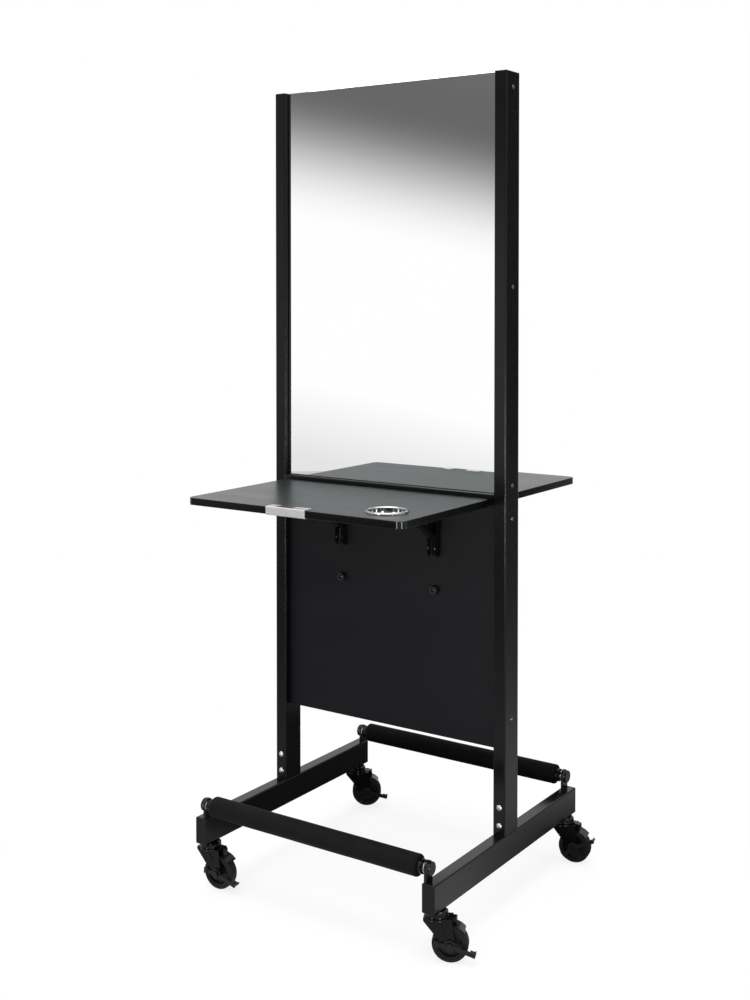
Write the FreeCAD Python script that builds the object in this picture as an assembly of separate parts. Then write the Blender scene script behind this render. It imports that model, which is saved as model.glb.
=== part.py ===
import FreeCAD, Part
import math
import os

from FreeCAD import Rotation, Vector

# Double sided salon station on casters, in millimetres.
# X runs along the width, the front shelf looks along -Y, Z is up.
# The origin is on the floor under the middle of the frame. The rear half is
# the front half turned 180 degrees about Z.

# ---------------------------------------------------------------- frame
frame_width = 634.0          # over the outer faces of the uprights
overall_height = 1830.0      # floor to the top of the caps
tube_narrow = 30.0           # rectangular tube of uprights, base and cross rail
tube_deep = 60.0
tube_wall = 1.5
tube_corner = 3.0            # outer corner radius of the tube
rail_length = 645.0          # base rail over its end caps
cross_rail_top = 911.0
cap_flange = 2.0             # plastic tube plugs: flange, its bevel, skirt and wall
cap_bevel = 0.8
cap_skirt = 14.0
cap_wall = 2.0
plug_corner = 2.5            # corner radius of what slides into the tube
fit_gap = 0.2                # loose fit of plugs, boards and screw shanks
glue_gap = 0.05              # between bonded curved faces
pin_gap = 0.08               # running fit of pins, axles and bolts
move_gap = 0.3               # between faces that move past each other

spigot_height = 90.0         # welded spigot that carries each upright
spigot_wall = 2.0
joint_screw_heights = (21.0, 61.0)   # above the base rail
joint_screw_radius = 4.0
joint_screw_length = 12.0
joint_head_radius = 6.6
joint_head_height = 3.6
joint_socket_flats = 4.6

# ---------------------------------------------------------------- boards
board_thickness = 25.0       # mirror core and lower panel
mirror_thickness = 5.0
mirror_side_gap = 1.0
mirror_bevel = 0.8
panel_bottom = 348.5
side_screw_radius = 2.5
side_screw_length = 62.0
side_head_radius = 4.6
side_head_height = 2.4
core_screw_insets = (18.0, 34.0)     # from the bottom and the top of the mirror core
panel_screw_insets = (66.5, 25.0)    # from the bottom and the top of the lower panel

# ---------------------------------------------------------------- shelf
shelf_side_gap = 35.0        # from the outer faces of the uprights
shelf_thickness = 16.0
shelf_top = 901.0
shelf_back = 33.0            # from the middle plane to the back edge
shelf_front = 387.0          # from the middle plane to the front edge
shelf_corner = 16.0
shelf_edge_round = 1.2
band_thickness = 2.0

ring_side_inset = 89.5       # centre of the dryer ring from the shelf's side edge
ring_front_inset = 80.5      # and from its front edge
ring_outer_radius = 45.5
ring_bore_radius = 38.0
ring_height = 5.5            # above the shelf
ring_sleeve = 1.8
ring_below = 2.0

plate_left = -60.0           # steel plate folded over the front edge
plate_right = 43.0
plate_sheet = 1.2
plate_flange = 25.0
plate_bend = 1.6
plate_notch_left = -36.0
plate_notch_right = 4.0
plate_notch_land = 4.0

# ------------------------------------------------------- folding brackets
bracket_x = 128.0            # both brackets stand this far from the middle
sheet = 1.5                  # bracket sheet
wall_arm_width = 22.4
wall_arm_depth = 18.0
wall_arm_bottom = 756.0
wall_arm_end_radius = 5.0
wall_arm_bend = 3.0          # outer bend radii of the folded sheet
arm_bend = 2.5
strut_bend = 2.0
shelf_pivot_out = 11.5       # shelf pivot in front of the lower panel
shelf_pivot_drop = 10.5      # shelf pivot below the shelf
tongue_radius = 6.0          # end of the shelf arm round its pivot
arm_reach = 232.0            # shelf arm from its pivot to its tip
arm_tip_radius = 6.0
strut_pivot_z = 797.0
strut_length = 138.0
strut_width = 18.8
strut_radius = 4.5
notch_rise = 3.5             # lock notch above the slot line
fold_limit = 88.0            # degrees from level to folded down
pivot_pin_radius = 2.5
pivot_head_radius = 4.2
pivot_head_height = 1.4
pivot_head_bevel = 0.5
slot_pin_radius = 2.4
wall_screw_heights = (772.0, 842.0)
wall_screw_radius = 2.2
wall_screw_length = 12.0
wood_head_radius = 3.8
wood_head_height = 1.8
arm_screw_reaches = (32.0, 95.0, 222.0)
arm_screw_length = 12.0

bumper_z = 679.0
bumper_radius = 10.0
bumper_gap = 0.4             # left under the folded strut
bumper_bevel = 2.2
bumper_recess_radius = 4.4
bumper_recess = 4.0
bumper_screw_radius = 1.8
bumper_screw_head = 3.4
bumper_screw_grip = 12.0     # length in the panel

# -------------------------------------------------------------- foot rests
rest_inset = 14.5            # bar axis from the end of the base rail
rest_axis_z = 191.5
post_rise = 4.0              # from the bar's axis to the centre of the post's round top
post_inset = 8.5             # flat post from the middle of the base rail
post_thickness = 6.0
post_width = 24.0
rest_tube_radius = 12.5
rest_tube_wall = 1.5
collar_radius = 14.8         # thicker end of the bar, clear of the foam
collar_length = 9.5
neck_radius = 12.0           # from the collar to the post
neck_length = 7.0
neck_washer_radius = 13.0
neck_washer = 1.8
foam_radius = 23.0
foam_round = 3.0
rest_bolt_radius = 5.0
rest_bolt_length = 34.0
rest_plug_length = 22.0
rest_washer_radius = 11.5    # washer under the disc head of the bolt
rest_washer = 2.0
rest_cap_radius = 14.4
rest_cap_height = 5.0
rest_cap_bevel = 1.0

# ---------------------------------------------------------------- casters
caster_height = 104.0        # floor to the base rail
caster_inset = 33.5          # swivel axis from the end of the base rail
caster_angles = {            # way the wheel trails, degrees from +X
    "front_left": 5.0,
    "front_right": 25.0,
    "rear_left": 34.0,
    "rear_right": 10.0,
}
brake_angles = {             # pedal below (-) or above (+) level
    "front_left": -18.0,
    "front_right": -18.0,
    "rear_left": -13.0,
    "rear_right": 26.0,
}
wheel_radius = 37.5
tyre_width = 24.0
tyre_shoulder = 3.5
rim_radius = 30.0
rim_width = 21.0
rim_thickness = 3.5
hub_radius = 8.5
hub_web = 6.0
wheel_trail = 28.0
axle_radius = 4.0
axle_head_radius = 6.5
axle_head_height = 4.0
stem_radius = 5.0
stem_length = 22.0
weld_nut_height = 8.0        # nut of the stem, inside the base rail
weld_nut_flats = 16.0
race_radius = 24.0
race_neck_radius = 19.0
race_skirt = 8.0
race_top = 4.0
race_wall = 2.0
rim_bead = 1.3               # rolled edge of the race cup and of the fork's crown
rim_bead_out = 0.7           # how far the roll stands out
raceway_radius = 15.0
crown_top = 90.0
crown_thickness = 4.0
kingpin_radius = 5.0
kingpin_head_radius = 8.5
kingpin_head_height = 3.0
kingpin_head_bevel = 1.0
leg_thickness = 2.5
leg_gap = 2.0                # between the tyre and the fork leg
leg_front = 26.0             # leg in front of and behind the swivel axis
leg_back = 33.0
leg_shoulder = 6.0           # upright front edge of the leg, below the crown's top
leg_end_radius = 11.0
leg_rib_height = 1.2         # pressed rib down the middle of each leg
leg_rib_radius = 4.0
leg_rib_drop = 14.0          # from the crown to the rib's upper end
leg_rib_length = 16.0
hood_gap = 1.5
hood_thickness = 2.0
hood_start = 42.0            # degrees above level on the trailing side
hood_end = 100.0
lock_front = 22.0            # housing of the brake lock
lock_length = 20.0
lock_width = 15.0
lock_top = 91.5
lock_slope = 2.0             # bevel of its trailing edge
pedal_thickness = 3.0
pedal_boss_radius = 12.0
pedal_arm_width = 9.0
pedal_reach = 32.0
pedal_bend = 15.0            # degrees that the short end dips below the tread's line
pedal_lug = 9.0              # square lug at the short end: length, height, what it stands out
pedal_lug_height = 13.0
pedal_lug_out = 1.5
tread_inner = 43.0
tread_outer = 55.0
tread_width = 17.0
tread_thickness = 2.6
tread_lip = 2.2              # ridge along the toe of the tread

# ------------------------------------------------------- derived places
half_width = frame_width / 2.0
upright_x = half_width - tube_narrow / 2.0
inner_half = half_width - tube_narrow
rail_bottom = caster_height
rail_top = rail_bottom + tube_deep
cross_rail_bottom = cross_rail_top - tube_narrow
core_screw_low = cross_rail_top + core_screw_insets[0]
core_screw_high = overall_height - core_screw_insets[1]
core_screw_heights = (core_screw_low, (core_screw_low + core_screw_high) / 2.0, core_screw_high)
panel_screw_heights = (panel_bottom + panel_screw_insets[0],
                       cross_rail_bottom - panel_screw_insets[1])
rest_y = rail_length / 2.0 - rest_inset
post_x = upright_x - post_inset
rest_end = post_x - post_thickness / 2.0 - move_gap
foam_half_length = rest_end - neck_length - collar_length - fit_gap
caster_x = upright_x
caster_y = rail_length / 2.0 - caster_inset
shelf_width = frame_width - 2 * shelf_side_gap
ring_x = shelf_width / 2.0 - ring_side_inset
ring_y = shelf_front - ring_front_inset
board_half = board_thickness / 2.0
mirror_front = board_half + mirror_thickness
shelf_under = shelf_top - shelf_thickness
pivot_y = -(board_half + shelf_pivot_out)
pivot_z = shelf_under - shelf_pivot_drop
arm_inner_half = wall_arm_width / 2.0 + move_gap
arm_outer_half = arm_inner_half + sheet
arm_depth = shelf_pivot_drop + tongue_radius
notch_z = pivot_z + notch_rise
strut_rise = notch_z - strut_pivot_z
notch_reach = math.sqrt(strut_length ** 2 - strut_rise ** 2)
slot_half_width = slot_pin_radius + move_gap


def folded_reach():
    """Distance of the slot pin from the shelf pivot with the shelf folded."""
    drop = pivot_z - strut_pivot_z
    turn = math.radians(fold_limit)
    along = drop * math.sin(turn)
    return along + math.sqrt(along ** 2 + strut_length ** 2 - drop ** 2)


def folded_lean():
    """Angle of the folded strut from straight down, in radians."""
    forward = folded_reach() * math.cos(math.radians(fold_limit))
    return math.asin(forward / strut_length)


slot_reach = folded_reach()
bumper_length = (
    shelf_pivot_out
    + (strut_pivot_z - bumper_z - bumper_radius) * math.tan(folded_lean())
    - strut_radius / math.cos(folded_lean())
    - bumper_gap
)

X_AXIS = Vector(1, 0, 0)
Y_AXIS = Vector(0, 1, 0)
Z_AXIS = Vector(0, 0, 1)


# ---------------------------------------------------------------- helpers
def moved(shape, x=0.0, y=0.0, z=0.0):
    copy = shape.copy()
    copy.translate(Vector(x, y, z))
    return copy


def turned(shape, angle, axis=Z_AXIS, centre=Vector(0, 0, 0)):
    copy = shape.copy()
    copy.rotate(centre, axis, angle)
    return copy


def mirrored_x(shape):
    return shape.mirror(Vector(0, 0, 0), X_AXIS)


def both_sides(shape):
    """The shape and its copy turned half round about Z."""
    return [shape, turned(shape, 180.0)]


def left_and_right(shape, x):
    return [moved(shape, x=-x), moved(shape, x=x)]


def rounded_outline(width, depth, radius):
    """Closed wire in the XY plane, centred, with arcs at its four corners."""
    a = width / 2.0
    b = depth / 2.0
    edges = []
    corners = ((a, b, 0.0), (-a, b, 90.0), (-a, -b, 180.0), (a, -b, 270.0))
    for x, y, start in corners:
        cx = x - math.copysign(radius, x)
        cy = y - math.copysign(radius, y)
        circle = Part.Circle(Vector(cx, cy, 0), Z_AXIS, radius)
        arc = circle.toShape(math.radians(start), math.radians(start + 90.0))
        edges.append(arc)
    closed = []
    for number, arc in enumerate(edges):
        following = edges[(number + 1) % 4]
        closed.append(arc)
        closed.append(Part.makeLine(arc.lastVertex().Point, following.firstVertex().Point))
    return Part.Wire(closed)


def rounded_prism(width, depth, radius, length):
    face = Part.Face(rounded_outline(width, depth, radius))
    return face.extrude(Vector(0, 0, length))


def square_tube(width, depth, wall, radius, length):
    """Rectangular tube along Z with its section centred on the axis."""
    outer = rounded_prism(width, depth, radius, length)
    inner = rounded_prism(width - 2 * wall, depth - 2 * wall, radius - wall, length)
    return outer.cut(inner)


def revolved(points, axis=Z_AXIS):
    """Solid of revolution about Z from (radius, height) points, then tipped onto axis."""
    corners = [Vector(radius, 0, height) for radius, height in points]
    wire = Part.makePolygon(corners + [corners[0]])
    solid = Part.Face(wire).revolve(Vector(0, 0, 0), Z_AXIS, 360)
    solid.Placement.Rotation = Rotation(Z_AXIS, axis)
    return solid


def cylinder(radius, length, start=Vector(0, 0, 0), axis=Z_AXIS):
    return Part.makeCylinder(radius, length, start, axis)


def slot_prism(start, end, radius, width):
    """Stadium shaped prism in the YZ plane, width wide along X and centred."""
    along = end.sub(start)
    across = Vector(0, -along.z, along.y).normalize().multiply(radius)
    half = X_AXIS * (-width / 2.0)
    corners = [start + across, end + across, end - across, start - across]
    far = end + along.normalize() * radius
    near = start - along.normalize() * radius
    wire = Part.Wire([
        Part.makeLine(corners[0] + half, corners[1] + half),
        Part.Arc(corners[1] + half, far + half, corners[2] + half).toShape(),
        Part.makeLine(corners[2] + half, corners[3] + half),
        Part.Arc(corners[3] + half, near + half, corners[0] + half).toShape(),
    ])
    return Part.Face(wire).extrude(X_AXIS * width)


def channel(width, depth, wall, bend, length):
    """U section along Z: web on the plane Y = 0, flanges towards -Y."""
    outer = rounded_prism(width, 2 * depth, bend, length)
    inner = rounded_prism(width - 2 * wall, 2 * (depth - wall), bend - wall, length)
    ring = moved(outer.cut(inner), y=-depth)
    return ring.common(Part.makeBox(width, depth, length, Vector(-width / 2.0, -depth, 0)))


def filleted(shape, radius, chosen):
    """Round the edges whose bounding boxes pass the given test."""
    return shape.makeFillet(radius, [edge for edge in shape.Edges if chosen(edge.BoundBox)])


def hex_prism(flats, length):
    corner = flats / math.sqrt(3.0)
    points = []
    for step in range(7):
        turn = math.radians(60.0 * step)
        points.append(Vector(corner * math.cos(turn), corner * math.sin(turn), 0))
    return Part.Face(Part.makePolygon(points)).extrude(Vector(0, 0, length))


def screw(shank_radius, shank_length, head_radius, head_height, socket_flats=0.0):
    """Screw along Z: domed head above Z = 0 and plain shank below it."""
    dome = (head_radius ** 2 + head_height ** 2) / (2.0 * head_height)
    half_turn = math.asin(head_radius / dome) / 2.0
    middle = Vector(dome * math.sin(half_turn), 0,
                    head_height - dome + dome * math.cos(half_turn))
    tip = Vector(0, 0, -shank_length)
    shank_end = Vector(shank_radius, 0, -shank_length)
    shank_top = Vector(shank_radius, 0, 0)
    rim = Vector(head_radius, 0, 0)
    crown = Vector(0, 0, head_height)
    wire = Part.Wire([
        Part.makeLine(tip, shank_end),
        Part.makeLine(shank_end, shank_top),
        Part.makeLine(shank_top, rim),
        Part.Arc(rim, middle, crown).toShape(),
        Part.makeLine(crown, tip),
    ])
    body = Part.Face(wire).revolve(Vector(0, 0, 0), Z_AXIS, 360)
    if socket_flats:
        depth = 0.6 * head_height
        body = body.cut(moved(hex_prism(socket_flats, head_height), z=head_height - depth))
    return body


def aimed(shape, axis):
    """The shape, modelled along Z, turned to point along the axis."""
    copy = shape.copy()
    copy.Placement.Rotation = Rotation(Z_AXIS, axis)
    return copy


def cut_all(shape, tools):
    return shape.cut(Part.makeCompound(tools)) if tools else shape


# ---------------------------------------------------------------- base frame
def joint_screw_places():
    """Heights of the screws that hold an upright to its spigot."""
    return [rail_top + height for height in joint_screw_heights]


def joint_bores(radius):
    """Bores along Y for the upright's joint screws, at X = 0."""
    start = -tube_deep
    return [cylinder(radius, 2 * tube_deep, Vector(0, start, height), Y_AXIS)
            for height in joint_screw_places()]


def rest_post():
    """Flat post of a foot rest with a round top and a bore for the bolt, at Y = 0."""
    axis = Vector(0, 0, rest_axis_z)
    below = Vector(0, 0, rail_top)
    post = slot_prism(below, axis + Z_AXIS * post_rise, post_width / 2.0, post_thickness)
    foot = Part.makeBox(post_thickness, post_width, post_width,
                        Vector(-post_thickness / 2.0, -post_width / 2.0, rail_top - post_width))
    bore = cylinder(rest_bolt_radius + pin_gap, 2 * post_thickness,
                    axis - X_AXIS * post_thickness, X_AXIS)
    return moved(post.cut(foot).cut(bore), x=post_x - upright_x)


def right_base_rail():
    """Tube along Y with its welded spigot, foot rest posts and caster nuts."""
    length = rail_length - 2 * cap_flange
    tube = square_tube(tube_narrow, tube_deep, tube_wall, tube_corner, length)
    tube = turned(tube, -90.0, X_AXIS)
    tube = moved(tube, y=-length / 2.0, z=rail_bottom + tube_deep / 2.0)
    inside = 2 * (tube_wall + fit_gap)
    spigot = square_tube(tube_narrow - inside, tube_deep - inside,
                         spigot_wall, plug_corner, spigot_height)
    spigot = cut_all(moved(spigot, z=rail_top), joint_bores(joint_screw_radius + pin_gap))
    nut_z = rail_bottom + tube_wall
    front_post = moved(rest_post(), y=-rest_y)
    posts = [front_post, moved(front_post, y=2 * rest_y)]
    nuts = both_sides(moved(hex_prism(weld_nut_flats, weld_nut_height), y=-caster_y, z=nut_z))
    rail = tube.fuse([spigot] + posts + nuts)
    stem_bore = cylinder(stem_radius + pin_gap, tube_wall + weld_nut_height,
                         Vector(0, -caster_y, rail_bottom))
    rail = cut_all(rail, both_sides(stem_bore)).removeSplitter()
    return moved(rail, x=upright_x)


def side_bores(heights, radius, reach):
    """Bores along X from both outer faces of the frame, reach deep."""
    bores = []
    for height in heights:
        start = Vector(half_width + 1.0, 0, height)
        bores += both_sides(cylinder(radius, reach + 1.0, start, X_AXIS * -1.0))
    return bores


def upright(x):
    length = overall_height - cap_flange - rail_top
    tube = square_tube(tube_narrow, tube_deep, tube_wall, tube_corner, length)
    tube = moved(tube, z=rail_top)
    tube = cut_all(tube, joint_bores(joint_screw_radius + fit_gap))
    tube = moved(tube, x=x)
    heights = core_screw_heights + panel_screw_heights
    return cut_all(tube, side_bores(heights, side_screw_radius + fit_gap, tube_narrow))


def tube_cap():
    """Plug of a tube end: flange above Z = 0 and hollow skirt below it."""
    flange = rounded_prism(tube_narrow, tube_deep, tube_corner, cap_flange)
    rim = [edge for edge in flange.Edges if edge.BoundBox.ZMin > cap_flange - pin_gap]
    flange = flange.makeChamfer(cap_bevel, rim)
    inside = 2 * (tube_wall + fit_gap)
    skirt = square_tube(tube_narrow - inside, tube_deep - inside, cap_wall, plug_corner, cap_skirt)
    return flange.fuse(moved(skirt, z=-cap_skirt)).removeSplitter()


def tube_caps():
    top = moved(tube_cap(), z=overall_height - cap_flange)
    front = turned(tube_cap(), 90.0, X_AXIS)
    front = moved(front, y=-(rail_length / 2.0 - cap_flange), z=rail_bottom + tube_deep / 2.0)
    caps = []
    for cap in [top, front, turned(front, 180.0)]:
        caps += left_and_right(cap, upright_x)
    return caps


def cross_rail():
    tube = square_tube(tube_narrow, tube_deep, tube_wall, tube_corner, 2 * inner_half)
    tube = turned(tube, 90.0, Y_AXIS)
    return moved(tube, x=-inner_half, z=cross_rail_top - tube_narrow / 2.0)


def joint_screws():
    body = screw(joint_screw_radius, joint_screw_length, joint_head_radius,
                 joint_head_height, joint_socket_flats)
    body = moved(aimed(body, Y_AXIS * -1.0), y=-tube_deep / 2.0)
    screws = []
    for height in joint_screw_places():
        for side in left_and_right(moved(body, z=height), upright_x):
            screws += both_sides(side)
    return screws


def side_screws():
    body = aimed(screw(side_screw_radius, side_screw_length, side_head_radius, side_head_height),
                 X_AXIS)
    screws = []
    for height in core_screw_heights + panel_screw_heights:
        screws += both_sides(moved(body, x=half_width, z=height))
    return screws


# ---------------------------------------------------------------- boards
def upright_board(bottom, top, screw_heights):
    """Board between the uprights with pilot bores for the side screws."""
    width = 2 * (inner_half - fit_gap)
    board = Part.makeBox(width, board_thickness, top - bottom,
                         Vector(-width / 2.0, -board_half, bottom))
    reach = side_screw_length + fit_gap
    return cut_all(board, side_bores(screw_heights, side_screw_radius + pin_gap, reach))


def mirror_core():
    return upright_board(cross_rail_top, overall_height, core_screw_heights)


def front_mirror():
    width = 2 * (inner_half - mirror_side_gap)
    bottom = cross_rail_top + fit_gap
    glass = Part.makeBox(width, mirror_thickness, overall_height - bottom,
                         Vector(-width / 2.0, -mirror_front, bottom))
    front = [edge for edge in glass.Edges if edge.BoundBox.YMax < pin_gap - mirror_front]
    return glass.makeChamfer(mirror_bevel, front)


def lower_panel():
    panel = upright_board(panel_bottom, cross_rail_bottom, panel_screw_heights)
    bores = []
    for place in wall_screw_places():
        bores += both_sides(cylinder(wall_screw_radius + pin_gap, wall_screw_length - sheet + fit_gap,
                                     place, Y_AXIS))
    for place in bumper_places():
        bores += both_sides(cylinder(bumper_screw_radius + pin_gap, bumper_screw_grip + fit_gap,
                                     place, Y_AXIS))
    return cut_all(panel, bores)


# ---------------------------------------------------------- folding brackets
def wall_screw_places():
    """Front screws of the wall arms, on the panel's front face."""
    return [Vector(x, -board_half, z) for x in (-bracket_x, bracket_x) for z in wall_screw_heights]


def bumper_places():
    return [Vector(x, -board_half, bumper_z) for x in (-bracket_x, bracket_x)]


def wall_arm():
    """Channel on the lower panel that carries the shelf and strut pivots, at X = 0."""
    top = cross_rail_bottom - move_gap
    arm = channel(wall_arm_width, wall_arm_depth, sheet, wall_arm_bend, top - wall_arm_bottom)
    arm = filleted(arm, wall_arm_end_radius,
                   lambda box: box.XLength > pin_gap and box.ZLength < pin_gap
                   and box.YMax < pin_gap - wall_arm_depth)
    arm = moved(arm, y=-board_half, z=wall_arm_bottom)
    bores = [cross_bore(pivot_pin_radius + pin_gap, pivot_z),
             cross_bore(pivot_pin_radius + pin_gap, strut_pivot_z)]
    for z in wall_screw_heights:
        start = Vector(0, -board_half - 2 * sheet, z)
        bores.append(cylinder(wall_screw_radius + fit_gap, 3 * sheet, start, Y_AXIS))
    return cut_all(arm, bores)


def cross_bore(radius, z, y=None):
    """Cylinder along X across a bracket, by default on the pivot line."""
    across = 4 * arm_outer_half
    place_y = pivot_y if y is None else y
    return cylinder(radius, across, Vector(-across / 2.0, place_y, z), X_AXIS)


def shelf_arm():
    """Channel under the shelf with its pivot tongue and locking slot, at X = 0."""
    length = tongue_radius + arm_reach
    arm = channel(2 * arm_outer_half, arm_depth, sheet, arm_bend, length)
    arm = filleted(arm, arm_tip_radius,
                   lambda box: box.XLength > pin_gap and box.ZMin > length - pin_gap
                   and box.YMax < pin_gap - arm_depth)
    arm = turned(arm, 90.0, X_AXIS)
    arm = moved(arm, y=pivot_y + tongue_radius, z=shelf_under)
    wide = 4 * arm_outer_half
    behind = Part.makeBox(wide, shelf_back, shelf_pivot_drop,
                          Vector(-wide / 2.0, -(shelf_back + move_gap), pivot_z + tongue_radius))
    end = Part.makeBox(wide, 2 * tongue_radius, 4 * tongue_radius,
                       Vector(-wide / 2.0, pivot_y, pivot_z - 2 * tongue_radius))
    end = end.cut(cross_bore(tongue_radius, pivot_z))
    slot_start = Vector(0, pivot_y - notch_reach, pivot_z)
    slot_end = Vector(0, pivot_y - slot_reach, pivot_z)
    notch = Vector(0, pivot_y - notch_reach, notch_z)
    tools = [behind, end, cross_bore(pivot_pin_radius + pin_gap, pivot_z),
             slot_prism(slot_start, slot_end, slot_half_width, wide),
             slot_prism(slot_start, notch, slot_half_width, wide)]
    for reach in arm_screw_reaches:
        start = Vector(0, pivot_y - reach, shelf_under - 2 * sheet)
        tools.append(cylinder(wall_screw_radius + fit_gap, 3 * sheet, start))
    for tool in tools:
        arm = arm.cut(tool)
    return arm


def strut():
    """Folding strut from the wall arm up to the slot of the shelf arm, at X = 0."""
    section = channel(strut_width, 2 * strut_radius, sheet, strut_bend,
                      strut_length + 2 * strut_radius)
    section = turned(section, 180.0)
    section = moved(section, y=-strut_radius, z=-strut_radius)
    body = section.common(slot_prism(Vector(0, 0, 0), Vector(0, 0, strut_length),
                                     strut_radius, strut_width))
    body = body.cut(cross_bore(pivot_pin_radius + pin_gap, 0.0, 0.0))
    body = body.cut(cross_bore(slot_pin_radius + pin_gap, strut_length, 0.0))
    lean = 90.0 - math.degrees(math.asin(strut_rise / strut_length))
    return moved(turned(body, lean, X_AXIS), y=pivot_y, z=strut_pivot_z)


def slot_pin():
    """Upper pin of the strut; it stops inside the flanges of the shelf arm."""
    half = arm_inner_half - move_gap
    return cylinder(slot_pin_radius, 2 * half, Vector(-half, pivot_y - notch_reach, notch_z), X_AXIS)


def shelf_pivot_pin():
    half = arm_outer_half + move_gap
    end = half + pivot_head_height
    right = [(pivot_pin_radius, half), (pivot_head_radius, half),
             (pivot_head_radius, end - pivot_head_bevel),
             (pivot_head_radius - pivot_head_bevel, end), (0.0, end)]
    left = [(radius, -place) for radius, place in reversed(right)]
    return moved(revolved(left + right, X_AXIS), y=pivot_y, z=pivot_z)


def strut_pivot_rivet():
    """Rivet of the strut, flush with the wall arm so that the shelf arm passes it."""
    half = wall_arm_width / 2.0
    return cylinder(pivot_pin_radius, 2 * half, Vector(-half, pivot_y, strut_pivot_z), X_AXIS)


def bracket_pins():
    pins = []
    for pin in (shelf_pivot_pin(), strut_pivot_rivet()):
        for side in left_and_right(pin, bracket_x):
            pins += both_sides(side)
    return pins


def wall_arms():
    arms = []
    for side in left_and_right(wall_arm(), bracket_x):
        arms += both_sides(side)
    return arms


def wall_screws():
    body = aimed(screw(wall_screw_radius, wall_screw_length, wood_head_radius, wood_head_height),
                 Y_AXIS * -1.0)
    screws = []
    for place in wall_screw_places():
        screws += both_sides(moved(body, place.x, place.y - sheet, place.z))
    return screws


def bumper():
    """Rubber bumper pointing along Z, with a counterbore for its screw."""
    seat = bumper_length - bumper_recess
    bore = bumper_screw_radius + fit_gap
    return revolved([
        (bore, 0.0),
        (bumper_radius, 0.0),
        (bumper_radius, bumper_length - bumper_bevel),
        (bumper_radius - bumper_bevel / 3.0, bumper_length - bumper_bevel / 3.0),
        (bumper_radius - bumper_bevel, bumper_length),
        (bumper_recess_radius, bumper_length),
        (bumper_recess_radius, seat),
        (bore, seat),
    ])


def placed_bumpers(shape, lift):
    """The shape turned to the front, at every bumper, lifted off the panel."""
    body = aimed(shape, Y_AXIS * -1.0)
    copies = []
    for place in bumper_places():
        copies += both_sides(moved(body, place.x, place.y - lift, place.z))
    return copies


def bumper_screw():
    length = bumper_length - bumper_recess + bumper_screw_grip
    return screw(bumper_screw_radius, length, bumper_screw_head, wood_head_height)


# ---------------------------------------------------------------- shelf
def shelf_slab(inset, height):
    """Rounded slab of the shelf's outline, inset all round, on Z = 0."""
    depth = shelf_front - shelf_back
    slab = rounded_prism(shelf_width - 2 * inset, depth - 2 * inset,
                         shelf_corner - inset, height)
    return moved(slab, y=-(shelf_front + shelf_back) / 2.0)


def shelf_board():
    board = moved(shelf_slab(band_thickness + glue_gap, shelf_thickness), z=shelf_under)
    tools = [cylinder(ring_bore_radius + ring_sleeve + fit_gap, 2 * shelf_thickness,
                      Vector(ring_x, -ring_y, shelf_under - shelf_thickness / 2.0))]
    for place in arm_screw_places():
        tools.append(cylinder(wall_screw_radius + pin_gap, arm_screw_length - sheet + fit_gap, place))
    return cut_all(board, tools)


def shelf_band():
    """Edge band all round the board, with softened edges."""
    outer = shelf_slab(0.0, shelf_thickness)
    outer = filleted(outer, shelf_edge_round, lambda box: box.ZLength < pin_gap)
    inner = shelf_slab(band_thickness, shelf_thickness)
    return moved(outer.cut(inner), z=shelf_under)


def arm_screw_places():
    """Screws of the shelf arms, on the underside of the shelf."""
    return [Vector(x, pivot_y - reach, shelf_under)
            for x in (-bracket_x, bracket_x) for reach in arm_screw_reaches]


def arm_screws():
    body = aimed(screw(wall_screw_radius, arm_screw_length, wood_head_radius, wood_head_height),
                 Z_AXIS * -1.0)
    return [moved(body, place.x, place.y, place.z - sheet) for place in arm_screw_places()]


def dryer_ring():
    """Rolled ring with a sleeve through the shelf."""
    foot = Vector(ring_bore_radius + ring_sleeve, 0, -(shelf_thickness + ring_below))
    neck = Vector(ring_bore_radius + ring_sleeve, 0, 0)
    rim = Vector(ring_outer_radius, 0, 0)
    edge = Vector(ring_outer_radius, 0, ring_height / 4.0)
    crest = Vector((ring_outer_radius + ring_bore_radius) / 2.0, 0, ring_height)
    lip = Vector(ring_bore_radius, 0, ring_height / 2.0)
    toe = Vector(ring_bore_radius, 0, foot.z)
    wire = Part.Wire([
        Part.makeLine(foot, neck),
        Part.makeLine(neck, rim),
        Part.makeLine(rim, edge),
        Part.Arc(edge, crest, lip).toShape(),
        Part.makeLine(lip, toe),
        Part.makeLine(toe, foot),
    ])
    ring = Part.Face(wire).revolve(Vector(0, 0, 0), Z_AXIS, 360)
    return moved(ring, ring_x, -ring_y, shelf_top)


def edge_plate():
    """Steel sheet folded over the front edge of the shelf, notched on top."""
    plate = channel(shelf_thickness + 2 * plate_sheet, plate_flange + plate_sheet,
                    plate_sheet, plate_bend, plate_right - plate_left)
    plate = turned(plate, 180.0, Vector(1, 0, 1))
    plate = moved(plate, plate_left, -(shelf_front + plate_sheet),
                  shelf_under + shelf_thickness / 2.0)
    notch = Part.makeBox(plate_notch_right - plate_notch_left, plate_flange, 2 * plate_sheet,
                         Vector(plate_notch_left, plate_notch_land - shelf_front,
                                shelf_top - plate_sheet / 2.0))
    return plate.cut(notch)


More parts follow.
